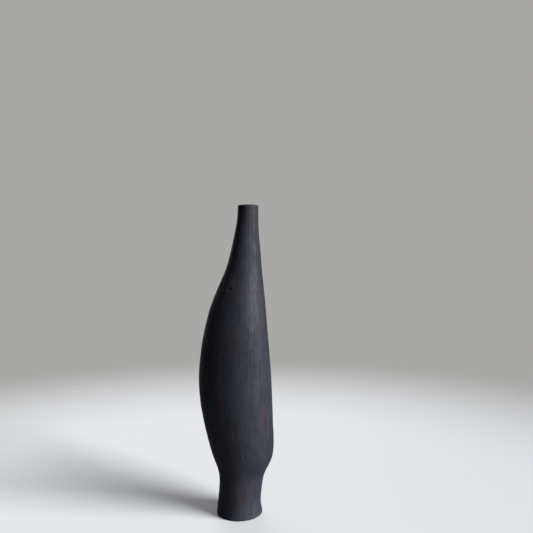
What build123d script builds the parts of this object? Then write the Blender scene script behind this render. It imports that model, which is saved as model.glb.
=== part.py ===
"""A tall stoneware bottle vase with an off-centre belly, as the clay pieces that a potter joins.

The frame is millimetres with +Z up. The origin is the middle of the foot, on the table. The belly is
fullest to the left (-X), the neck stands to the right of the foot (+X), and the front is -Y.

Two lofts through the same stations give the outside and the hollow, and a third runs halfway through
the wall. Seams cut the wall into a floor slab, a foot, three belly stages, a neck and a lip coil. Each
seam is a half lap: the inner half of the lower wall stands up behind the outer half of the upper one,
with a ring of slip on top of it. A liner glaze coats the hollow.
"""
import os
from collections import namedtuple

from build123d import *

# Foot: a round wall that is widest at the table
FOOT_RADIUS = 22.9
PROUD_EDGE_HEIGHT = 3.5
FLARE_RADIUS = 22.1
FLARE_SHIFT = -0.4
FLARE_HEIGHT = 8.0
WAIST_RADIUS = 21.6
WAIST_SHIFT = 0.3
WAIST_HEIGHT = 18.0
FOOT_TOP_RADIUS = 21.9
FOOT_TOP_SHIFT = 1.5
FOOT_HEIGHT = 30.0
FOOT_EDGE_ROUNDING = 1.4

# Belly: how far each side swells past the straight line from the foot to the neck
BELLY_HEIGHT = 234.0
LEFT_SWELL = 25.9
RIGHT_SWELL = 11.7
FRONT_SWELL = 17.0
BACK_SWELL = 18.2

# Neck: round, narrowing to the mouth and leaning back over the foot
NECK_HEIGHT = 46.0
NECK_ROOT_RADIUS = 15.3
NECK_ROOT_SHIFT = 6.1
NECK_RADIUS = 10.5
MOUTH_SHIFT = 8.6
RIM_ROUNDING = 1.0

# Hollow: the mouth is measured to the face of the liner glaze, and the walls are clay
MOUTH_RADIUS = 7.0
MOUTH_LENGTH = 26.0
THROAT_TAPER = 0.15
GLAZE_THICKNESS = 0.5
FLOOR_THICKNESS = 8.0
FOOT_WALL = 6.0
BELLY_WALL = 5.0
NECK_WALL = 3.6
FLOOR_BEVEL = 4.0
FLOOR_ROUNDING = 5.0

# Seams between the stages that the wall is built in
FOOT_COLLAR_HEIGHT = 12.0
LOWER_STAGE_HEIGHT = 58.0
MIDDLE_STAGE_HEIGHT = 62.0
UPPER_STAGE_HEIGHT = 66.0
LIP_COIL_HEIGHT = 7.0
SEAM_LAP = 3.0
SLIP_THICKNESS = 0.8

# The belly's swell at each share of its height, as shares of each side's full swell
BellyStation = namedtuple("BellyStation", "share left right front back")
BELLY_SHAPE = [
    BellyStation(0.050, 0.06, 0.26, 0.10, 0.07),
    BellyStation(0.085, 0.18, 0.65, 0.25, 0.20),
    BellyStation(0.120, 0.32, 0.91, 0.42, 0.36),
    BellyStation(0.160, 0.45, 1.00, 0.57, 0.51),
    BellyStation(0.260, 0.72, 0.96, 0.83, 0.78),
    BellyStation(0.430, 1.00, 0.86, 1.00, 0.99),
    BellyStation(0.620, 0.93, 0.60, 0.90, 0.93),
    BellyStation(0.750, 0.71, 0.42, 0.64, 0.68),
    BellyStation(0.880, 0.30, 0.18, 0.26, 0.28),
    BellyStation(0.940, 0.11, 0.08, 0.10, 0.11),
]

# The neck's narrowing and its lean at each share of its height, as shares of the whole change
NeckStation = namedtuple("NeckStation", "share narrowing lean")
NECK_SHAPE = [
    NeckStation(0.00, 0.00, 0.00),
    NeckStation(0.26, 0.42, 0.30),
    NeckStation(0.56, 0.79, 0.66),
    NeckStation(0.80, 0.94, 0.90),
    NeckStation(1.00, 1.00, 1.00),
]

OUTLINE_POINTS = 16
OVERRUN = 5.0

neck_root_height = FOOT_HEIGHT + BELLY_HEIGHT
total_height = neck_root_height + NECK_HEIGHT
mouth_start = total_height - MOUTH_LENGTH
clay_bore_radius = MOUTH_RADIUS + GLAZE_THICKNESS
rim_rounding = min(RIM_ROUNDING, (NECK_RADIUS - clay_bore_radius) / 3)
lower_seam = FOOT_HEIGHT + FOOT_COLLAR_HEIGHT
middle_seam = lower_seam + LOWER_STAGE_HEIGHT
upper_seam = middle_seam + MIDDLE_STAGE_HEIGHT
neck_seam = upper_seam + UPPER_STAGE_HEIGHT
lip_seam = total_height - LIP_COIL_HEIGHT

# A level outline: an oval around (shift, 0) with its own reach to each side
Outline = namedtuple("Outline", "height shift left right front back wall")
Seam = namedtuple("Seam", "height lap")


def blend(start, end, share):
    """The value that lies that share of the way from start to end."""
    return start + (end - start) * share


def round_outline(height, shift, radius, wall):
    """A circular outline."""
    return Outline(height, shift, radius, radius, radius, radius, wall)


def inset(outline, distance):
    """The outline moved inwards by a distance."""
    reaches = [reach - distance for reach in outline[2:6]]
    return Outline(outline.height, outline.shift, *reaches, outline.wall)


def foot_outlines():
    """The foot's outlines, from the table up."""
    return [
        round_outline(0.0, 0.0, FOOT_RADIUS, FOOT_WALL),
        round_outline(PROUD_EDGE_HEIGHT, 0.0, FOOT_RADIUS, FOOT_WALL),
        round_outline(FLARE_HEIGHT, FLARE_SHIFT, FLARE_RADIUS, FOOT_WALL),
        round_outline(WAIST_HEIGHT, WAIST_SHIFT, WAIST_RADIUS, FOOT_WALL),
        round_outline(FOOT_HEIGHT, FOOT_TOP_SHIFT, FOOT_TOP_RADIUS, FOOT_WALL),
    ]


def belly_outline(station):
    """One oval of the belly, swollen out of the straight line from the foot to the neck."""
    share = station.share
    shift = blend(FOOT_TOP_SHIFT, NECK_ROOT_SHIFT, share)
    radius = blend(FOOT_TOP_RADIUS, NECK_ROOT_RADIUS, share)
    return Outline(
        FOOT_HEIGHT + BELLY_HEIGHT * share,
        shift,
        radius + LEFT_SWELL * station.left,
        radius + RIGHT_SWELL * station.right,
        radius + FRONT_SWELL * station.front,
        radius + BACK_SWELL * station.back,
        BELLY_WALL,
    )


def neck_outline(station):
    """One circle of the neck."""
    height = neck_root_height + NECK_HEIGHT * station.share
    shift = blend(NECK_ROOT_SHIFT, MOUTH_SHIFT, station.lean)
    radius = blend(NECK_ROOT_RADIUS, NECK_RADIUS, station.narrowing)
    return round_outline(height, shift, radius, NECK_WALL)


def outer_outlines():
    """Every outline of the outside, from the table to the mouth."""
    belly = [belly_outline(station) for station in BELLY_SHAPE]
    neck = [neck_outline(station) for station in NECK_SHAPE]
    return foot_outlines() + belly + neck


def hollow_outline(outline):
    """The hollow's outline inside an outer one: the foot's well, the belly or the mouth's bore."""
    if outline.height <= WAIST_HEIGHT:
        return round_outline(outline.height, WAIST_SHIFT, WAIST_RADIUS - FOOT_WALL, outline.wall)
    if outline.height >= mouth_start:
        return round_outline(outline.height, MOUTH_SHIFT, clay_bore_radius, outline.wall)
    return inset(outline, outline.wall)


def middle_outline(outline):
    """The outline halfway through the wall."""
    inner = hollow_outline(outline)
    middle = [blend(out, into, 0.5) for out, into in zip(outline[1:6], inner[1:6])]
    return Outline(outline.height, *middle, outline.wall)


def outline_wire(outline):
    """A smooth closed wire around the outline's four quarter ovals."""
    points = []
    for step in range(OUTLINE_POINTS):
        around = Vector(1, 0, 0).rotate(Axis.Z, 360.0 * step / OUTLINE_POINTS)
        reach_x = outline.right if around.X > 0 else outline.left
        reach_y = outline.back if around.Y > 0 else outline.front
        x = outline.shift + reach_x * around.X
        points.append((x, reach_y * around.Y, outline.height))
    return Wire([Spline(*points, periodic=True)])


def loft_through(outlines):
    """A solid lofted through the outlines."""
    return Solid.make_loft([outline_wire(outline) for outline in outlines])


def layer(bottom, top):
    """A slab wider than the vase, between two heights."""
    width = 2 * (FOOT_RADIUS + LEFT_SWELL + RIGHT_SWELL + FRONT_SWELL + BACK_SWELL)
    slab = Box(width, width, top - bottom)
    return slab.moved(Location((0, 0, (bottom + top) / 2)))


def floor_former(skin):
    """The cone that the hollow's floor is shaped to, with its lower edge rounded."""
    height = total_height
    radius = WAIST_RADIUS - FOOT_WALL - FLOOR_BEVEL - skin
    cone = Cone(radius, radius + height, height)
    cone = cone.moved(Location((WAIST_SHIFT, 0, FLOOR_THICKNESS + skin + height / 2)))
    return fillet(cone.edges().sort_by(Axis.Z)[0], FLOOR_ROUNDING)


def mouth_bore(skin):
    """The mouth's straight bore, from just below its start to above the rim."""
    length = MOUTH_LENGTH + 2 * OVERRUN
    bore = Cylinder(clay_bore_radius - skin, length)
    return bore.moved(Location((MOUTH_SHIFT, 0, mouth_start + MOUTH_LENGTH / 2)))


def hollow(skin):
    """The space inside the wall, with a coat of the given thickness taken off all over."""
    outlines = []
    for outline in outer_outlines():
        past_start = max(0.0, outline.height - mouth_start)
        outlines.append(inset(hollow_outline(outline), skin + THROAT_TAPER * past_start))
    return (loft_through(outlines) & floor_former(skin)) + mouth_bore(skin)


def wall_piece(wall, middle, bottom, top):
    """The wall from one seam to the next, with both half laps cut."""
    piece = wall & layer(bottom.height, top.height + top.lap)
    foot_of_lap = bottom.height + bottom.lap + SLIP_THICKNESS
    piece -= middle & layer(bottom.height - OVERRUN, foot_of_lap)
    return piece - (layer(top.height, top.height + OVERRUN) - middle)


def slip_ring(wall, middle, seam):
    """The slip that holds one seam: a ring on top of its inner half lap."""
    bottom = seam.height + seam.lap
    return wall & middle & layer(bottom, bottom + SLIP_THICKNESS)


def floor_slab(wall):
    """The slab that the foot stands on, with its lower edge rounded off the table."""
    slab = wall & layer(-OVERRUN, FLOOR_THICKNESS)
    return fillet(slab.edges().sort_by(Axis.Z)[0], FOOT_EDGE_ROUNDING)


def lip_coil(wall, middle, seam):
    """The last coil, with both edges of the mouth rounded over."""
    coil = wall & layer(seam.height, total_height)
    coil -= middle & layer(seam.height - OVERRUN, seam.height + seam.lap + SLIP_THICKNESS)
    return fillet(coil.edges().group_by(Axis.Z)[-1], rim_rounding)


def liner_glaze(cavity):
    """The coat of glaze over the hollow's floor and wall, up to where the rim starts to round."""
    coat = cavity - hollow(GLAZE_THICKNESS)
    return coat & layer(0.0, total_height - rim_rounding)


def build_parts():
    """Every sub-part by node name."""
    outside = loft_through(outer_outlines())
    middle = loft_through([middle_outline(outline) for outline in outer_outlines()])
    cavity = hollow(0.0)
    wall = outside - cavity

    floor_seam = Seam(FLOOR_THICKNESS, 0.0)
    lip = Seam(lip_seam, SEAM_LAP)
    stages = [
        ("foot_wall", floor_seam, Seam(lower_seam, SEAM_LAP)),
        ("lower_belly_wall", Seam(lower_seam, SEAM_LAP), Seam(middle_seam, SEAM_LAP)),
        ("middle_belly_wall", Seam(middle_seam, SEAM_LAP), Seam(upper_seam, SEAM_LAP)),
        ("upper_belly_wall", Seam(upper_seam, SEAM_LAP), Seam(neck_seam, SEAM_LAP)),
        ("neck_wall", Seam(neck_seam, SEAM_LAP), lip),
    ]
    parts = {"floor_slab": floor_slab(wall)}
    for name, bottom, top in stages:
        parts[name] = wall_piece(wall, middle, bottom, top)
        parts[name.replace("_wall", "_slip_seam")] = slip_ring(wall, middle, bottom)
    parts["lip_coil"] = lip_coil(wall, middle, lip)
    parts["lip_slip_seam"] = slip_ring(wall, middle, lip)
    parts["liner_glaze"] = liner_glaze(cavity)
    return parts


os.makedirs("parts", exist_ok=True)
for node, shape in build_parts().items():
    export_step(Compound(list(shape.solids())), f"parts/{node}.step")
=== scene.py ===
"""A matte black stoneware bottle vase, built round its packed clay pieces.

The clay's outside is one hand-built form: rings drawn up the wall, waved by hand and combed. Each
clay piece is cut from that form with its own laps and joint faces, so the combing runs on across
the seams.
"""
import math
import random

import bpy
import numpy as np
from bpy.props import FloatProperty, FloatVectorProperty, IntProperty, PointerProperty
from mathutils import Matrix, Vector


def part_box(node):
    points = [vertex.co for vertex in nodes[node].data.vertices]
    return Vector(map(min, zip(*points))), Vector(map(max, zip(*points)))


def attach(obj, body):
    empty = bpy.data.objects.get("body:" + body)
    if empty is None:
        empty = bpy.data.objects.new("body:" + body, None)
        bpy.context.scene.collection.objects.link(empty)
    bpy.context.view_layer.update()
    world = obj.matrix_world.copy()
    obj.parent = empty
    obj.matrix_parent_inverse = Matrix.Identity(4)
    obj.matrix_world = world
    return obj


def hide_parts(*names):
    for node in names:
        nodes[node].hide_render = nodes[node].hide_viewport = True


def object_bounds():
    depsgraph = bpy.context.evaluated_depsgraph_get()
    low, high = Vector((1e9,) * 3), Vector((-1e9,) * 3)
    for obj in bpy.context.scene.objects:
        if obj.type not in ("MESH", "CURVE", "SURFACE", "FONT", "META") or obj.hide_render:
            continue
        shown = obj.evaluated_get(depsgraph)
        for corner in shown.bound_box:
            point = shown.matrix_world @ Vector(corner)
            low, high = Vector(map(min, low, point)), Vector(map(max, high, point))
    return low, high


bl_info = {
    "name": "Combed Stoneware Vase",
    "version": (1, 0, 0),
    "blender": (4, 5, 0),
    "location": "View3D > Sidebar > Vase",
    "description": "Models the clay, glaze and slip of a combed black stoneware bottle vase",
    "category": "Mesh",
}

MM = 0.001

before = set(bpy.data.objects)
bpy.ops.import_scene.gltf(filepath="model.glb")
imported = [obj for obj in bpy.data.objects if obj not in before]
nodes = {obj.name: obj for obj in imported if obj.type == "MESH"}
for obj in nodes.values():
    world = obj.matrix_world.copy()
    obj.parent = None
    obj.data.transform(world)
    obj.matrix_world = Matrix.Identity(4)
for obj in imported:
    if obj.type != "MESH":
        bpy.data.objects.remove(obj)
cad_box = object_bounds()

CLAY_WALLS = [
    "floor_slab",
    "foot_wall",
    "lower_belly_wall",
    "middle_belly_wall",
    "upper_belly_wall",
    "neck_wall",
]
LIP = "lip_coil"
LINER = "liner_glaze"
FORM = "hand_built_form"
TABLE = cad_box[0].z
RIM = cad_box[1].z
# A distance from which a ray towards the vase starts well outside it.
FAR = 1.0
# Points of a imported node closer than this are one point.
SAME_POINT = 0.0001 * MM
# Edges that turn more sharply than this stay crisp.
SMOOTH_ANGLE = math.radians(38)

# The form's first and last rings lie this far inside the wall's ends, clear of the rounded edges.
EDGE_MARGIN = 1.8 * MM
# The form then runs this far past the table and the rim, so that its ends cut nothing.
OVERRUN = 3.0 * MM
# The cage starts this far outside the clay and is wrapped inwards on to it.
WRAP_GAP = 3.0 * MM
WRAP_REACH = 3 * WRAP_GAP
# Waves and combing fade out between these distances from the wall's ends, down to a small share.
FADE_END = 1 * MM
FADE_START = 6 * MM
END_SHARE = 0.05

# Comb strokes: half their length, how far they lean, and the height over which they fade out.
SHORTEST_STROKE = 28
LONGEST_STROKE = 75
STROKE_LEAN = 0.025
STROKE_FADE = 12 * MM
# The comb skips as it is dragged, once in 9 to 26 mm.
SHORTEST_SKIP = 9
LONGEST_SKIP = 26

# The nick's crescent: how tightly it curves, and half its length and width.
NICK_CURVE = 9 * MM
NICK_HALF_LENGTH = 2.0 * MM
NICK_HALF_WIDTH = 0.9 * MM

# The rim's dips are 9 mm apart and fade out between these distances below it.
RIM_WAVE_SIZE = 9 * MM
RIM_ZONE_TOP = 1 * MM
RIM_ZONE_BOTTOM = 5 * MM

# The glaze's own mouth edge: flat on the rim, inside this radius, rounded by this much.
RIM_TOLERANCE = 0.01 * MM
GLAZE_EDGE_REACH = 7.25 * MM
GLAZE_ROUNDING = 0.22 * MM

# Iron streaks are centred most of the way out to the front and reach this far in depth.
STREAK_FRONT = cad_box[0].y * 0.75
STREAK_HALF_DEPTH = 16 * MM
# Where the clay's iron shows on the front: side, height, half width, half height and lean.
IRON_STREAKS = [
    (-2.6 * MM, 250 * MM, 4.5 * MM, 36 * MM, -0.08),
    (0.7 * MM, 180 * MM, 2.6 * MM, 16 * MM, 0.0),
    (-16.8 * MM, 122 * MM, 5.0 * MM, 50 * MM, 0.0),
    (-11.0 * MM, 84 * MM, 4.5 * MM, 26 * MM, 0.3),
    (0.8 * MM, 30 * MM, 4.0 * MM, 44 * MM, 0.0),
    (8.6 * MM, 22 * MM, 5.0 * MM, 32 * MM, -0.15),
    (23.0 * MM, 102 * MM, 3.4 * MM, 26 * MM, 0.0),
]


def linear(hex_colour):
    """An sRGB hex colour as linear red, green and blue."""
    channels = [int(hex_colour[start:start + 2], 16) / 255 for start in (1, 3, 5)]
    return [c / 12.92 if c <= 0.04045 else ((c + 0.055) / 1.055) ** 2.4 for c in channels]


class VaseFormSettings(bpy.types.PropertyGroup):
    """The sizes of the hand-built form and of its combing."""

    columns: IntProperty(
        name="Columns", description="Points around each ring of the cage", default=128, min=32
    )
    ring_spacing: FloatProperty(
        name="Ring spacing", description="Height from one ring to the next",
        default=8.0 * MM, unit="LENGTH",
    )
    foot_ring_spacing: FloatProperty(
        name="Foot ring spacing", description="Height from one ring to the next round the foot",
        default=5.0 * MM, unit="LENGTH",
    )
    foot_zone: FloatProperty(
        name="Foot zone", description="Height up to which the foot's closer rings go",
        default=60.0 * MM, unit="LENGTH",
    )
    ease: FloatProperty(
        name="Ease", description="How far inside the clay's box the waved wall lies",
        default=0.25 * MM, unit="LENGTH",
    )
    wave: FloatProperty(
        name="Hand wave", description="Unevenness that hand building leaves in the wall",
        default=0.45 * MM, unit="LENGTH",
    )
    wave_size: FloatProperty(
        name="Wave size", description="Distance from one swelling of the wall to the next",
        default=26.0 * MM, unit="LENGTH",
    )
    rim_wave: FloatProperty(
        name="Rim wave", description="How far the hand-cut rim dips",
        default=0.5 * MM, unit="LENGTH",
    )
    comb_depth: FloatProperty(
        name="Comb depth", description="Depth of a groove left by the comb",
        default=0.27 * MM, unit="LENGTH",
    )
    tooth_spacing: FloatProperty(
        name="Tooth spacing", description="Distance between the teeth of the comb",
        default=1.9 * MM, unit="LENGTH",
    )
    strokes: IntProperty(
        name="Strokes", description="Strokes of the comb over the whole wall", default=420, min=0
    )
    nick_depth: FloatProperty(
        name="Nick depth", description="Depth of the tool nick below the neck",
        default=1.3 * MM, unit="LENGTH",
    )
    nick_side: FloatProperty(
        name="Nick side", description="How far right of the foot's middle the nick lies",
        default=-9.3 * MM, unit="LENGTH",
    )
    nick_height: FloatProperty(
        name="Nick height", description="Height of the nick above the table",
        default=225.5 * MM, unit="LENGTH",
    )
    seed: IntProperty(name="Seed", description="Seed of the comb strokes", default=11)


class VaseFinishSettings(bpy.types.PropertyGroup):
    """The colours of the clay, the glaze and the slip."""

    clay: FloatVectorProperty(
        name="Clay", description="Colour of the burnished black clay",
        subtype="COLOR", size=3, min=0.0, max=1.0, default=linear("#1E2128"),
    )
    # Paler clay: rubbed wear on the comb's ridges, with the grooves between painted darker as
    # painted shade; also the colour of the slip's specks.
    clay_ridge: FloatVectorProperty(
        name="Rubbed ridges", description="Colour where the comb's ridges are rubbed paler",
        subtype="COLOR", size=3, min=0.0, max=1.0, default=linear("#30343F"),
    )
    clay_warm: FloatVectorProperty(
        name="Warm patches", description="Colour where iron warms the clay",
        subtype="COLOR", size=3, min=0.0, max=1.0, default=linear("#3D2F35"),
    )
    glaze: FloatVectorProperty(
        name="Liner glaze", description="Colour of the glaze inside",
        subtype="COLOR", size=3, min=0.0, max=1.0, default=linear("#1B1A1C"),
    )
    glaze_edge: FloatVectorProperty(
        name="Glaze edge", description="Colour where the glaze thins at the mouth",
        subtype="COLOR", size=3, min=0.0, max=1.0, default=linear("#3B2A22"),
    )
    slip: FloatVectorProperty(
        name="Slip", description="Colour of the fired slip in the joints",
        subtype="COLOR", size=3, min=0.0, max=1.0, default=linear("#2E2F34"),
    )


class VaseStageSettings(bpy.types.PropertyGroup):
    """The floor, the light and the camera."""

    floor: FloatVectorProperty(
        name="Floor", description="Colour of the pale floor",
        subtype="COLOR", size=3, min=0.0, max=1.0, default=linear("#DFE1E5"),
    )
    floor_bounce: FloatVectorProperty(
        name="Floor bounce", description="Colour that the floor throws back on the vase",
        subtype="COLOR", size=3, min=0.0, max=1.0, default=linear("#6E7074"),
    )
    floor_radius: FloatProperty(
        name="Floor radius", description="Radius of the whole floor",
        default=3.0, unit="LENGTH",
    )
    floor_fade_start: FloatProperty(
        name="Fade start", description="How far from the vase the floor starts to fade out",
        default=0.3, unit="LENGTH",
    )
    floor_fade_end: FloatProperty(
        name="Fade end", description="How far from the vase the floor is gone",
        default=0.9, unit="LENGTH",
    )
    surround: FloatVectorProperty(
        name="Surround", description="Colour seen behind the vase",
        subtype="COLOR", size=3, min=0.0, max=1.0, default=linear("#A9A8A6"),
    )
    key_strength: FloatProperty(
        name="Key strength", description="Strength of the low soft light from the right",
        default=5.7, min=0.0,
    )
    key_spread: FloatProperty(
        name="Key spread", description="How wide the soft light looks from the vase",
        default=math.radians(34), subtype="ANGLE",
    )
    key_side: FloatProperty(
        name="Key side", description="Angle of the soft light round from the camera's side",
        default=math.radians(66), subtype="ANGLE",
    )
    key_height: FloatProperty(
        name="Key height", description="Angle of the soft light above the floor",
        default=math.radians(27), subtype="ANGLE",
    )
    back_strength: FloatProperty(
        name="Back strength", description="Strength of the weak light from behind",
        default=0.9, min=0.0,
    )
    back_spread: FloatProperty(
        name="Back spread", description="How wide the light from behind looks from the vase",
        default=math.radians(60), subtype="ANGLE",
    )
    back_side: FloatProperty(
        name="Back side", description="Angle of the light from behind round from the camera's side",
        default=math.radians(198), subtype="ANGLE",
    )
    back_height: FloatProperty(
        name="Back height", description="Angle of the light from behind above the floor",
        default=math.radians(18), subtype="ANGLE",
    )
    fill_strength: FloatProperty(
        name="Fill strength", description="Strength of the soft light from straight above",
        default=0.36, min=0.0,
    )
    camera_distance: FloatProperty(
        name="Camera distance", description="Distance from the camera to the foot's middle",
        default=0.552, unit="LENGTH",
    )
    camera_height: FloatProperty(
        name="Camera height", description="Height of the camera above the floor",
        default=0.2479, unit="LENGTH",
    )
    camera_side: FloatProperty(
        name="Camera side", description="How far right of the foot's middle the camera stands",
        default=0.0272, unit="LENGTH",
    )
    lens: FloatProperty(
        name="Lens", description="Focal length in millimetres", default=36.8, min=1.0
    )


def deselect_all():
    bpy.ops.object.select_all(action="DESELECT")


def make_active(obj):
    deselect_all()
    obj.select_set(True)
    bpy.context.view_layer.objects.active = obj


def apply_modifier(obj, kind, **values):
    """Adds a modifier with its settings and applies it."""
    make_active(obj)
    modifier = obj.modifiers.new(kind.title(), kind)
    for key, value in values.items():
        setattr(modifier, key, value)
    bpy.ops.object.modifier_apply(modifier=modifier.name)


def set_weights(obj, name, weights):
    """Paints a vertex group, one weight for each of the object's points."""
    group = obj.vertex_groups.new(name=name)
    for index in np.flatnonzero(weights > 0.0).tolist():
        group.add([index], float(weights[index]), "REPLACE")


def places(obj):
    """The places of an object's points, one row each."""
    flat = np.empty(len(obj.data.vertices) * 3, dtype=np.float32)
    obj.data.vertices.foreach_get("co", flat)
    return flat.reshape(-1, 3).astype(float)


def rise(values, start, end):
    """A smooth step from 0 at start to 1 at end."""
    share = np.clip((values - start) / (end - start), 0.0, 1.0)
    return share * share * (3.0 - 2.0 * share)


def merged_copy(name, new_name):
    """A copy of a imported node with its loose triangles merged."""
    copy = nodes[name].copy()
    copy.data = nodes[name].data.copy()
    copy.name = new_name
    for key in list(copy.keys()):
        if key.startswith("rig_"):
            del copy[key]
    copy.parent = None
    copy.data.materials.clear()
    bpy.context.scene.collection.objects.link(copy)
    make_active(copy)
    bpy.ops.object.mode_set(mode="EDIT")
    bpy.ops.mesh.select_all(action="SELECT")
    bpy.ops.mesh.remove_doubles(threshold=SAME_POINT)
    bpy.ops.object.mode_set(mode="OBJECT")
    bpy.ops.mesh.customdata_custom_splitnormals_clear()
    return copy


def clay_reach(centre, direction):
    """How far the clay's outside reaches from a point inside it, towards one side."""
    start = centre + direction * FAR
    reaches = []
    for name in CLAY_WALLS + [LIP]:
        hit, place, _, _ = nodes[name].ray_cast(start, -direction)
        if hit:
            reaches.append((place - centre).dot(direction))
    return max(reaches)


def clay_outline(height):
    """The middle and the half widths of the clay's outside at one height."""
    centre = Vector((0, 0, height))
    right, left = clay_reach(centre, Vector((1, 0, 0))), clay_reach(centre, Vector((-1, 0, 0)))
    centre.x = (right - left) / 2
    back, front = clay_reach(centre, Vector((0, 1, 0))), clay_reach(centre, Vector((0, -1, 0)))
    centre.y = (back - front) / 2
    return centre, (right + left) / 2, (back + front) / 2


def ring_heights(form):
    """The heights of the cage's rings, from just above the table to just below the rim."""
    start, close_end, end = TABLE + EDGE_MARGIN, TABLE + form.foot_zone, RIM - EDGE_MARGIN
    close_rings = round((close_end - start) / form.foot_ring_spacing)
    wide_rings = round((end - close_end) / form.ring_spacing)
    close_part = np.linspace(start, close_end, close_rings, endpoint=False)
    return [float(height) for height in close_part] + [
        float(height) for height in np.linspace(close_end, end, wide_rings + 1)
    ]


def draw_cage(form, outlines):
    """Draws rings up the wall with circles, extrusion and scaling, open at both ends."""
    middle, half_width, half_depth = outlines[0]
    deselect_all()
    bpy.ops.mesh.primitive_circle_add(vertices=form.columns, radius=1.0, fill_type="NOTHING")
    cage = bpy.context.object
    cage.name = FORM
    bpy.ops.object.mode_set(mode="EDIT")
    bpy.ops.mesh.select_all(action="SELECT")
    bpy.ops.transform.resize(value=(half_width, half_depth, 1.0))
    bpy.ops.transform.translate(value=middle)
    for (middle, half_width, half_depth), (next_middle, next_width, next_depth) in zip(
        outlines, outlines[1:]
    ):
        bpy.ops.mesh.extrude_edges_move(
            TRANSFORM_OT_translate={"value": next_middle - middle}
        )
        bpy.ops.transform.resize(
            value=(next_width / half_width, next_depth / half_depth, 1.0),
            center_override=next_middle,
        )
    bpy.ops.mesh.select_all(action="SELECT")
    bpy.ops.mesh.normals_make_consistent(inside=False)
    bpy.ops.object.mode_set(mode="OBJECT")
    return cage


def open_edges(obj):
    """Opens a piece in edit mode for its edges, with none of them selected."""
    make_active(obj)
    bpy.ops.object.mode_set(mode="EDIT")
    bpy.ops.mesh.select_mode(type="EDGE")
    bpy.ops.mesh.select_all(action="DESELECT")


def select_end(obj, top):
    """Selects the open edge at one end of the form, in edit mode."""
    open_edges(obj)
    bpy.ops.mesh.select_non_manifold(
        extend=False, use_wire=False, use_boundary=True,
        use_multi_face=False, use_non_contiguous=False, use_verts=False,
    )
    bpy.ops.object.mode_set(mode="OBJECT")
    for edge in obj.data.edges:
        above = obj.data.vertices[edge.vertices[0]].co.z > (TABLE + RIM) / 2
        edge.select = edge.select and above == top
    bpy.ops.object.mode_set(mode="EDIT")


def draw_out_ends(obj):
    """Draws the form's ends straight out past the table and the rim."""
    for top in (False, True):
        select_end(obj, top)
        reach = EDGE_MARGIN + OVERRUN
        bpy.ops.mesh.extrude_edges_move(
            TRANSFORM_OT_translate={"value": (0.0, 0.0, reach if top else -reach)}
        )
        bpy.ops.object.mode_set(mode="OBJECT")


def close_ends(obj):
    """Closes the form's ends, both outside the clay."""
    for top in (False, True):
        select_end(obj, top)
        bpy.ops.mesh.edge_face_add()
        bpy.ops.object.mode_set(mode="OBJECT")


def comb_weights(points, form, outlines):
    """How deep the comb has cut at each point, 0 to 1, as later strokes run over earlier ones."""
    heights = [middle.z for middle, _, _ in outlines]
    x = points[:, 0] - np.interp(points[:, 2], heights, [middle.x for middle, _, _ in outlines])
    y = points[:, 1] - np.interp(points[:, 2], heights, [middle.y for middle, _, _ in outlines])
    radius = np.hypot(x, y)
    angle = np.arctan2(y, x)
    depth = np.zeros(len(points))
    draw = random.Random(form.seed)
    for _ in range(form.strokes):
        middle = draw.uniform(TABLE, RIM)
        half_length = draw.uniform(SHORTEST_STROKE, LONGEST_STROKE) * MM
        start = draw.uniform(-math.pi, math.pi)
        lean = draw.gauss(0.0, STROKE_LEAN)
        spacing = form.tooth_spacing * draw.uniform(0.75, 1.2)
        teeth = draw.randint(3, 8)
        pressure = draw.uniform(0.25, 1.0)
        tooth_pressure = [draw.uniform(0.35, 1.0) for _ in range(teeth + 2)]
        skip_length = draw.uniform(SHORTEST_SKIP, LONGEST_SKIP) * MM
        skip_start = draw.uniform(0.0, 2 * math.pi)
        rows = np.flatnonzero(np.abs(points[:, 2] - middle) < half_length)
        along = points[rows, 2] - middle
        turn = (angle[rows] - start + math.pi) % (2 * math.pi) - math.pi
        across = turn * radius[rows] - lean * along
        half_width = teeth * spacing / 2
        near = np.abs(across) < half_width
        rows, along, across = rows[near], along[near], across[near]
        cover = rise(half_width - np.abs(across), 0.0, spacing * 0.7)
        cover *= rise(half_length - np.abs(along), 0.0, STROKE_FADE)
        tooth = (across + half_width) / spacing
        groove = (0.5 - 0.5 * np.cos(2 * math.pi * tooth)) ** 2
        groove *= np.take(tooth_pressure, tooth.astype(int))
        skip = np.sin(along / skip_length * 2 * math.pi + skip_start)
        groove *= pressure * (0.72 + 0.28 * skip)
        depth[rows] += cover * (groove - depth[rows])
    return depth


def nick_weights(points, form):
    """A short crescent on the front, where the edge of a tool caught the clay."""
    across = points[:, 0] - form.nick_side
    up = points[:, 2] - form.nick_height - across * across / NICK_CURVE
    crescent = np.exp(-(across / NICK_HALF_LENGTH) ** 2 - (up / NICK_HALF_WIDTH) ** 2)
    return crescent * (points[:, 1] < 0.0)


def wrap_on_clay(cage):
    """Wraps the cage inwards on to the outside of the packed clay."""
    clay = [merged_copy(name, "wrap_" + name) for name in CLAY_WALLS + [LIP]]
    deselect_all()
    for copy in clay:
        copy.select_set(True)
    bpy.context.view_layer.objects.active = clay[0]
    bpy.ops.object.join()
    wrap = bpy.context.object
    apply_modifier(
        cage, "SHRINKWRAP", target=wrap, wrap_method="PROJECT", project_limit=WRAP_REACH,
        use_negative_direction=True, use_positive_direction=False,
    )
    bpy.data.objects.remove(wrap)


def paint_weights(body, form, outlines):
    """Paints where the wall waves, where the comb cuts and where the nick lies."""
    points = places(body)
    wall = rise(points[:, 2], TABLE + FADE_END, TABLE + FADE_START)
    wall *= rise(points[:, 2], RIM - FADE_END, RIM - FADE_START)
    wall = END_SHARE + (1 - END_SHARE) * wall
    combing = comb_weights(points, form, outlines) * wall
    set_weights(body, "wall", wall)
    set_weights(body, "comb", combing)
    set_weights(body, "nick", nick_weights(points, form))
    # The clay's material reads the combing too, under a name that no weights have, and uses it to
    # paint the grooves darker as painted shade.
    grooves = body.data.attributes.new("combed", "FLOAT", "POINT")
    grooves.data.foreach_set("value", combing)


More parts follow.
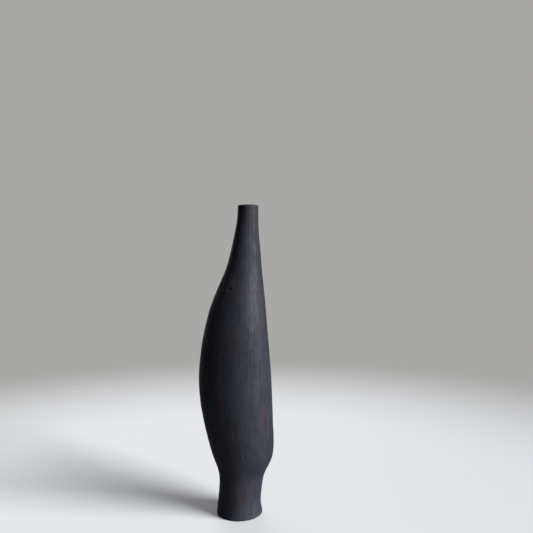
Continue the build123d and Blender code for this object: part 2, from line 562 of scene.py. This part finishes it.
def work_by_hand(body, form):
    """Waves the wall, eases it inside the clay's box, combs it and nicks it."""
    wave = bpy.data.textures.new("hand_wave", "CLOUDS")
    wave.noise_scale = form.wave_size
    apply_modifier(
        body, "DISPLACE", strength=form.wave, mid_level=0.5, texture=wave,
        texture_coords="LOCAL", vertex_group="wall",
    )
    for weights, depth in (
        ("wall", form.ease), ("comb", form.comb_depth), ("nick", form.nick_depth)
    ):
        apply_modifier(body, "DISPLACE", strength=-depth, mid_level=0.0, vertex_group=weights)


class VASE_OT_form(bpy.types.Operator):
    """Builds the clay's outside as one waved and combed form"""

    bl_idname = "vase.form"
    bl_label = "Build the Form"

    def execute(self, context):
        form = context.scene.vase_form
        outlines = []
        for height in ring_heights(form):
            middle, half_width, half_depth = clay_outline(height)
            outlines.append((middle, half_width + WRAP_GAP, half_depth + WRAP_GAP))
        body = draw_cage(form, outlines)
        wrap_on_clay(body)
        draw_out_ends(body)
        apply_modifier(body, "SUBSURF", levels=3, render_levels=3)
        paint_weights(body, form, outlines)
        work_by_hand(body, form)
        close_ends(body)
        return {"FINISHED"}


def dip_rim(piece, form):
    """Lowers the mouth's edge unevenly, as a rim cut and wiped by hand is."""
    heights = places(piece)[:, 2]
    set_weights(piece, "rim", rise(heights, RIM - RIM_ZONE_BOTTOM, RIM - RIM_ZONE_TOP))
    texture = bpy.data.textures.get("rim_wave") or bpy.data.textures.new("rim_wave", "CLOUDS")
    texture.noise_scale = RIM_WAVE_SIZE
    apply_modifier(
        piece, "DISPLACE", direction="Z", strength=form.rim_wave, mid_level=1.0,
        texture=texture, texture_coords="LOCAL", vertex_group="rim",
    )


def add_node(tree, kind, inputs=None, **settings):
    """Adds a node with its settings, and sets or links its inputs."""
    node = tree.nodes.new(kind)
    for key, value in settings.items():
        setattr(node, key, value)
    for key, value in (inputs or {}).items():
        if isinstance(value, bpy.types.NodeSocket):
            tree.links.new(value, node.inputs[key])
        else:
            node.inputs[key].default_value = value
    return node


def new_material(name):
    """An empty node material and its tree."""
    material = bpy.data.materials.new(name)
    material.use_nodes = True
    material.node_tree.nodes.clear()
    return material, material.node_tree


def opaque(colour):
    return (*colour, 1.0)


def per_size(*sizes):
    """The mapping scale of a pattern whose features have these sizes in millimetres."""
    return [1 / (size * MM) for size in sizes]


def iron_streaks(tree, place):
    """Soft upright patches on the front, strongest where two overlap."""
    total = 0.0
    for side, height, half_width, half_height, lean in IRON_STREAKS:
        patch_place = add_node(
            tree, "ShaderNodeMapping",
            {
                "Vector": place, "Location": (side, STREAK_FRONT, height),
                "Rotation": (0.0, -lean, 0.0),
                "Scale": (half_width, STREAK_HALF_DEPTH, half_height),
            },
            vector_type="TEXTURE",
        )
        patch = add_node(
            tree, "ShaderNodeTexGradient", {"Vector": patch_place.outputs["Vector"]},
            gradient_type="SPHERICAL",
        )
        total = add_node(
            tree, "ShaderNodeMath", {0: patch.outputs["Fac"], 1: total}, operation="MAXIMUM"
        ).outputs["Value"]
    return total


def scraped_black_stoneware(finish):
    """Black stoneware, combed when leather-hard and fired without a glaze.

    The eye sees a dry, slightly blue black, paler on the rubbed ridges between fine upright
    scratches, darker down the comb's grooves where shade is painted into the colour, and with
    faint warm streaks where the clay's iron shows.
    """
    material, tree = new_material("scraped_black_stoneware")
    place = add_node(tree, "ShaderNodeTexCoord").outputs["Object"]
    # The comb's groove depth, which the colour below turns into painted shade in the grooves.
    combing = add_node(tree, "ShaderNodeAttribute", attribute_name="combed").outputs["Fac"]

    # Scratches lie 1.5 mm apart and run about 60 mm up the wall.
    upright = add_node(
        tree, "ShaderNodeMapping", {"Vector": place, "Scale": per_size(1.5, 1.5, 60)}
    )
    scratches = add_node(
        tree, "ShaderNodeTexNoise",
        {"Vector": upright.outputs["Vector"], "Scale": 1.0, "Detail": 3.0, "Roughness": 0.6},
    ).outputs["Fac"]
    # Rubbed and dry areas are a few centimetres across and taller than wide.
    tall = add_node(tree, "ShaderNodeMapping", {"Vector": place, "Scale": per_size(13, 13, 32)})
    clouds = add_node(
        tree, "ShaderNodeTexNoise",
        {"Vector": tall.outputs["Vector"], "Scale": 1.0, "Detail": 4.0, "Roughness": 0.6},
    ).outputs["Fac"]
    # The clay's own grain is 0.5 mm across, drawn at 0.9 mm, as coarse as it needs to show.
    grain = add_node(
        tree, "ShaderNodeTexNoise", {"Vector": place, "Scale": 1 / (0.9 * MM), "Detail": 2.0}
    ).outputs["Fac"]
    # Iron also shows faintly all round, in streaks 6 mm wide and 45 mm tall.
    narrow = add_node(
        tree, "ShaderNodeMapping",
        {"Vector": place, "Location": (3.1, 0.4, 1.7), "Scale": per_size(6, 6, 45)},
    )
    faint_iron = add_node(
        tree, "ShaderNodeTexNoise",
        {"Vector": narrow.outputs["Vector"], "Scale": 1.0, "Detail": 3.0, "Roughness": 0.6},
    ).outputs["Fac"]

    # Scratches and clouds give rubbed wear; subtracting the comb's groove depth paints shade into
    # the grooves.
    ridges = add_node(
        tree, "ShaderNodeMath", {0: scratches, 1: combing}, operation="SUBTRACT"
    ).outputs["Value"]
    rubbed = add_node(
        tree, "ShaderNodeMath", {0: ridges, 1: clouds}, operation="ADD"
    ).outputs["Value"]
    ridge_wear_and_groove_shade = add_node(
        tree, "ShaderNodeMapRange",
        {"Value": rubbed, "From Min": 0.62, "From Max": 1.08, "To Min": 0.0, "To Max": 1.0},
    ).outputs["Result"]
    black = add_node(
        tree, "ShaderNodeMix",
        {0: ridge_wear_and_groove_shade, 6: opaque(finish.clay), 7: opaque(finish.clay_ridge)},
        data_type="RGBA",
    ).outputs[2]
    broken_iron = add_node(
        tree, "ShaderNodeMath",
        {0: iron_streaks(tree, place), 1: faint_iron}, operation="MULTIPLY",
    ).outputs["Value"]
    iron = add_node(
        tree, "ShaderNodeMapRange",
        {"Value": broken_iron, "From Min": 0.04, "From Max": 0.42, "To Min": 0.0, "To Max": 0.9},
        interpolation_type="SMOOTHSTEP",
    ).outputs["Result"]
    faint_share = add_node(
        tree, "ShaderNodeMapRange",
        {"Value": faint_iron, "From Min": 0.52, "From Max": 0.74, "To Min": 0.0, "To Max": 0.7},
    ).outputs["Result"]
    iron_share = add_node(
        tree, "ShaderNodeMath", {0: iron, 1: faint_share}, operation="MAXIMUM"
    ).outputs["Value"]
    warmed = add_node(
        tree, "ShaderNodeMix", {0: iron_share, 6: black, 7: opaque(finish.clay_warm)},
        data_type="RGBA",
    ).outputs[2]
    roughness = add_node(
        tree, "ShaderNodeMapRange",
        {"Value": rubbed, "From Min": 0.5, "From Max": 1.2, "To Min": 0.78, "To Max": 0.58},
    ).outputs["Result"]
    scratch_bump = add_node(
        tree, "ShaderNodeBump", {"Height": scratches, "Strength": 1.0, "Distance": 0.12 * MM}
    )
    grain_bump = add_node(
        tree, "ShaderNodeBump",
        {
            "Height": grain, "Strength": 1.0, "Distance": 0.06 * MM,
            "Normal": scratch_bump.outputs["Normal"],
        },
    )
    clay = add_node(
        tree, "ShaderNodeBsdfPrincipled",
        {
            "Base Color": warmed, "Roughness": roughness, "IOR": 1.5, "Specular IOR Level": 0.32,
            "Normal": grain_bump.outputs["Normal"],
        },
    )
    add_node(tree, "ShaderNodeOutputMaterial", {"Surface": clay.outputs["BSDF"]})
    return material


def black_liner_glaze(finish):
    """Black liner glaze poured inside, glossy, breaking brown where it thins at the mouth."""
    material, tree = new_material("black_liner_glaze")
    place = add_node(tree, "ShaderNodeTexCoord").outputs["Object"]
    height = add_node(tree, "ShaderNodeSeparateXYZ", {"Vector": place}).outputs["Z"]
    # Runs of glaze are 4 mm wide and 20 mm long.
    long_way = add_node(tree, "ShaderNodeMapping", {"Vector": place, "Scale": per_size(4, 4, 20)})
    runs = add_node(
        tree, "ShaderNodeTexNoise", {"Vector": long_way.outputs["Vector"], "Scale": 1.0}
    ).outputs["Fac"]
    thin = add_node(
        tree, "ShaderNodeMapRange",
        {"Value": height, "From Min": RIM - 4 * MM, "From Max": RIM, "To Min": 0.0, "To Max": 1.0},
    ).outputs["Result"]
    colour = add_node(
        tree, "ShaderNodeMix",
        {0: thin, 6: opaque(finish.glaze), 7: opaque(finish.glaze_edge)}, data_type="RGBA",
    ).outputs[2]
    roughness = add_node(
        tree, "ShaderNodeMapRange",
        {"Value": runs, "From Min": 0.3, "From Max": 0.7, "To Min": 0.12, "To Max": 0.26},
    ).outputs["Result"]
    bump = add_node(
        tree, "ShaderNodeBump", {"Height": runs, "Strength": 0.6, "Distance": 0.15 * MM}
    )
    glaze = add_node(
        tree, "ShaderNodeBsdfPrincipled",
        {
            "Base Color": colour, "Roughness": roughness, "IOR": 1.52,
            "Normal": bump.outputs["Normal"],
        },
    )
    add_node(tree, "ShaderNodeOutputMaterial", {"Surface": glaze.outputs["BSDF"]})
    return material


def fired_joining_slip(finish):
    """The same clay mixed to a cream and fired in the joint: smooth, dull and finely speckled."""
    material, tree = new_material("fired_joining_slip")
    place = add_node(tree, "ShaderNodeTexCoord").outputs["Object"]
    # Specks of fine grog are 0.7 mm across.
    specks = add_node(
        tree, "ShaderNodeTexNoise", {"Vector": place, "Scale": 1 / (0.7 * MM), "Detail": 2.0}
    ).outputs["Fac"]
    colour = add_node(
        tree, "ShaderNodeMix",
        {0: specks, 6: opaque(finish.slip), 7: opaque(finish.clay_ridge)}, data_type="RGBA",
    ).outputs[2]
    bump = add_node(
        tree, "ShaderNodeBump", {"Height": specks, "Strength": 1.0, "Distance": 0.04 * MM}
    )
    slip = add_node(
        tree, "ShaderNodeBsdfPrincipled",
        {
            "Base Color": colour, "Roughness": 0.8, "IOR": 1.5,
            "Normal": bump.outputs["Normal"],
        },
    )
    add_node(tree, "ShaderNodeOutputMaterial", {"Surface": slip.outputs["BSDF"]})
    return material


def matte_white_table(stage):
    """Matte white paint, faintly rolled, fading out far from the vase into what lies behind it."""
    material, tree = new_material("matte_white_table")
    place = add_node(tree, "ShaderNodeTexCoord").outputs["Object"]
    # The roller leaves a texture about 3 mm across.
    rolled = add_node(
        tree, "ShaderNodeTexNoise", {"Vector": place, "Scale": 1 / (3 * MM), "Detail": 2.0}
    ).outputs["Fac"]
    bump = add_node(
        tree, "ShaderNodeBump", {"Height": rolled, "Strength": 0.4, "Distance": 0.1 * MM}
    )
    seen = add_node(tree, "ShaderNodeLightPath").outputs["Is Camera Ray"]
    colour = add_node(
        tree, "ShaderNodeMix",
        {0: seen, 6: opaque(stage.floor_bounce), 7: opaque(stage.floor)}, data_type="RGBA",
    ).outputs[2]
    paint = add_node(
        tree, "ShaderNodeBsdfPrincipled",
        {"Base Color": colour, "Roughness": 0.6, "Normal": bump.outputs["Normal"]},
    )
    away = add_node(
        tree, "ShaderNodeVectorMath", {0: place}, operation="LENGTH"
    ).outputs["Value"]
    fade = add_node(
        tree, "ShaderNodeMapRange",
        {
            "Value": away, "From Min": stage.floor_fade_start, "From Max": stage.floor_fade_end,
            "To Min": 0.0, "To Max": 1.0,
        },
        interpolation_type="SMOOTHSTEP",
    ).outputs["Result"]
    clear = add_node(tree, "ShaderNodeBsdfTransparent")
    surface = add_node(
        tree, "ShaderNodeMixShader",
        {0: fade, 1: paint.outputs["BSDF"], 2: clear.outputs["BSDF"]},
    )
    add_node(tree, "ShaderNodeOutputMaterial", {"Surface": surface.outputs["Shader"]})
    return material


def clay_material(finish):
    """The clay's one material, made the first time it is asked for."""
    made = bpy.data.materials.get("scraped_black_stoneware")
    return made or scraped_black_stoneware(finish)


def cut_from_form(name):
    """A clay piece: its own laps and joint faces, with the form's combed outside."""
    form = bpy.data.objects.get(FORM)
    if form is None:
        raise RuntimeError("the form has to be built before the clay pieces")
    piece = merged_copy(name, name + "_clay")
    plain_points = len(piece.data.vertices)
    apply_modifier(piece, "BOOLEAN", object=form, operation="INTERSECT", solver="MANIFOLD")
    if len(piece.data.vertices) == plain_points:
        raise RuntimeError(name + " could not be cut from the form")
    return piece


def finish_piece(piece, name, material):
    """Smooths a piece, gives it its material and joins it to the frame."""
    make_active(piece)
    bpy.ops.object.shade_smooth_by_angle(angle=SMOOTH_ANGLE)
    piece.data.materials.clear()
    piece.data.materials.append(material)
    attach(piece, "root")
    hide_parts(name)


class VASE_OT_walls(bpy.types.Operator):
    """Models the floor slab, the foot, the three belly stages and the neck"""

    bl_idname = "vase.walls"
    bl_label = "Model the Walls"

    def execute(self, context):
        finish = context.scene.vase_finish
        for name in CLAY_WALLS:
            piece = cut_from_form(name)
            finish_piece(piece, name, clay_material(finish))
        return {"FINISHED"}


class VASE_OT_lip(bpy.types.Operator):
    """Models the lip, with its uneven hand-cut rim"""

    bl_idname = "vase.lip"
    bl_label = "Model the Lip"

    def execute(self, context):
        piece = cut_from_form(LIP)
        dip_rim(piece, context.scene.vase_form)
        finish_piece(piece, LIP, clay_material(context.scene.vase_finish))
        return {"FINISHED"}


def round_glaze_edge(coat):
    """Rounds the glaze off where it ends in the mouth."""
    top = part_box(LINER)[1].z
    mouth_low, mouth_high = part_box(LIP)
    axis = (mouth_low + mouth_high) / 2
    open_edges(coat)
    bpy.ops.object.mode_set(mode="OBJECT")
    for edge in coat.data.edges:
        ends = [coat.data.vertices[index].co for index in edge.vertices]
        edge.select = all(
            end.z > top - RIM_TOLERANCE
            and math.hypot(end.x - axis.x, end.y - axis.y) < GLAZE_EDGE_REACH
            for end in ends
        )
    bpy.ops.object.mode_set(mode="EDIT")
    bpy.ops.mesh.bevel(offset=GLAZE_ROUNDING, segments=3, affect="EDGES")
    bpy.ops.object.mode_set(mode="OBJECT")


class VASE_OT_liner(bpy.types.Operator):
    """Coats the hollow with glaze, rounded off where it ends in the mouth"""

    bl_idname = "vase.liner"
    bl_label = "Coat the Hollow"

    def execute(self, context):
        coat = merged_copy(LINER, LINER + "_coat")
        round_glaze_edge(coat)
        dip_rim(coat, context.scene.vase_form)
        finish_piece(coat, LINER, black_liner_glaze(context.scene.vase_finish))
        return {"FINISHED"}


class VASE_OT_slip(bpy.types.Operator):
    """Gives the slip in the joints its finish"""

    bl_idname = "vase.slip"
    bl_label = "Finish the Slip"

    def execute(self, context):
        material = fired_joining_slip(context.scene.vase_finish)
        for name in sorted(nodes):
            if name.endswith("_slip_seam"):
                for slot in nodes[name].material_slots:
                    slot.material = material
        return {"FINISHED"}


def add_sun(name, strength, spread, side, height):
    """Adds a soft sun, turned by its side angle from the camera and its height above the floor."""
    light = bpy.data.lights.new(name, "SUN")
    light.energy = strength
    light.angle = spread
    sun = bpy.data.objects.new(name, light)
    towards_sun = Vector(
        (math.sin(side) * math.cos(height), -math.cos(side) * math.cos(height), math.sin(height))
    )
    sun.rotation_euler = towards_sun.to_track_quat("Z", "Y").to_euler()
    bpy.context.scene.collection.objects.link(sun)


def studio_world(stage):
    """Soft light from above, which the camera sees as one plain surround."""
    world = bpy.data.worlds.new("studio")
    world.use_nodes = True
    tree = world.node_tree
    tree.nodes.clear()
    direction = add_node(tree, "ShaderNodeTexCoord").outputs["Generated"]
    height = add_node(tree, "ShaderNodeSeparateXYZ", {"Vector": direction}).outputs["Z"]
    upward = add_node(
        tree, "ShaderNodeMath", {0: height, 1: 0.0}, operation="MAXIMUM"
    ).outputs["Value"]
    overhead = add_node(
        tree, "ShaderNodeMath", {0: upward, 1: 3.0}, operation="POWER"
    ).outputs["Value"]
    strength = add_node(
        tree, "ShaderNodeMath", {0: overhead, 1: stage.fill_strength}, operation="MULTIPLY"
    ).outputs["Value"]
    fill = add_node(
        tree, "ShaderNodeBackground", {"Color": (1.0, 1.0, 1.0, 1.0), "Strength": strength}
    )
    surround = add_node(
        tree, "ShaderNodeBackground", {"Color": opaque(stage.surround), "Strength": 1.0}
    )
    seen = add_node(tree, "ShaderNodeLightPath").outputs["Is Camera Ray"]
    both = add_node(
        tree, "ShaderNodeMixShader",
        {0: seen, 1: fill.outputs["Background"], 2: surround.outputs["Background"]},
    )
    add_node(tree, "ShaderNodeOutputWorld", {"Surface": both.outputs["Shader"]})
    return world


class VASE_OT_stage(bpy.types.Operator):
    """Sets the floor, the low soft light, the surround and the camera"""

    bl_idname = "vase.stage"
    bl_label = "Set the Stage"

    def execute(self, context):
        stage = context.scene.vase_stage
        deselect_all()
        bpy.ops.mesh.primitive_circle_add(
            vertices=96, radius=stage.floor_radius, fill_type="NGON", location=(0, 0, TABLE)
        )
        floor = context.object
        floor.name = "table_top"
        floor.data.materials.append(matte_white_table(stage))

        add_sun("soft_key", stage.key_strength, stage.key_spread, stage.key_side, stage.key_height)
        add_sun(
            "soft_back", stage.back_strength, stage.back_spread, stage.back_side,
            stage.back_height,
        )
        context.scene.world = studio_world(stage)
        context.scene.view_settings.view_transform = "Standard"

        camera = bpy.data.objects.new("camera", bpy.data.cameras.new("camera"))
        camera.data.sensor_width = 36.0
        camera.data.lens = stage.lens
        camera.data.clip_start = 10 * MM
        camera.location = (stage.camera_side, -stage.camera_distance, stage.camera_height)
        camera.rotation_euler = (math.radians(90), 0.0, 0.0)
        context.scene.collection.objects.link(camera)
        context.scene.camera = camera
        return {"FINISHED"}


class VASE_PT_panel(bpy.types.Panel):
    """The vase's settings and steps"""

    bl_idname = "VASE_PT_panel"
    bl_label = "Stoneware Vase"
    bl_space_type = "VIEW_3D"
    bl_region_type = "UI"
    bl_category = "Vase"

    def draw(self, context):
        for group in (
            context.scene.vase_form, context.scene.vase_finish, context.scene.vase_stage
        ):
            box = self.layout.box()
            for name in group.__annotations__:
                box.prop(group, name)
        for step in STEPS:
            self.layout.operator(step.bl_idname)


SETTINGS = {
    "vase_form": VaseFormSettings,
    "vase_finish": VaseFinishSettings,
    "vase_stage": VaseStageSettings,
}
STEPS = (
    VASE_OT_stage, VASE_OT_form, VASE_OT_walls, VASE_OT_lip, VASE_OT_liner, VASE_OT_slip,
)


def register():
    for group in SETTINGS.values():
        bpy.utils.register_class(group)
    for step in STEPS:
        bpy.utils.register_class(step)
    bpy.utils.register_class(VASE_PT_panel)
    for name, group in SETTINGS.items():
        setattr(bpy.types.Scene, name, PointerProperty(type=group))


def unregister():
    for name in SETTINGS:
        delattr(bpy.types.Scene, name)
    bpy.utils.unregister_class(VASE_PT_panel)
    for step in reversed(STEPS):
        bpy.utils.unregister_class(step)
    for group in reversed(list(SETTINGS.values())):
        bpy.utils.unregister_class(group)


def main():
    register()
    bpy.ops.vase.stage()
    bpy.ops.vase.form()
    bpy.ops.vase.walls()
    bpy.ops.vase.lip()
    bpy.ops.vase.liner()
    bpy.ops.vase.slip()
    bpy.data.objects.remove(bpy.data.objects[FORM])


if __name__ == "__main__":
    main()
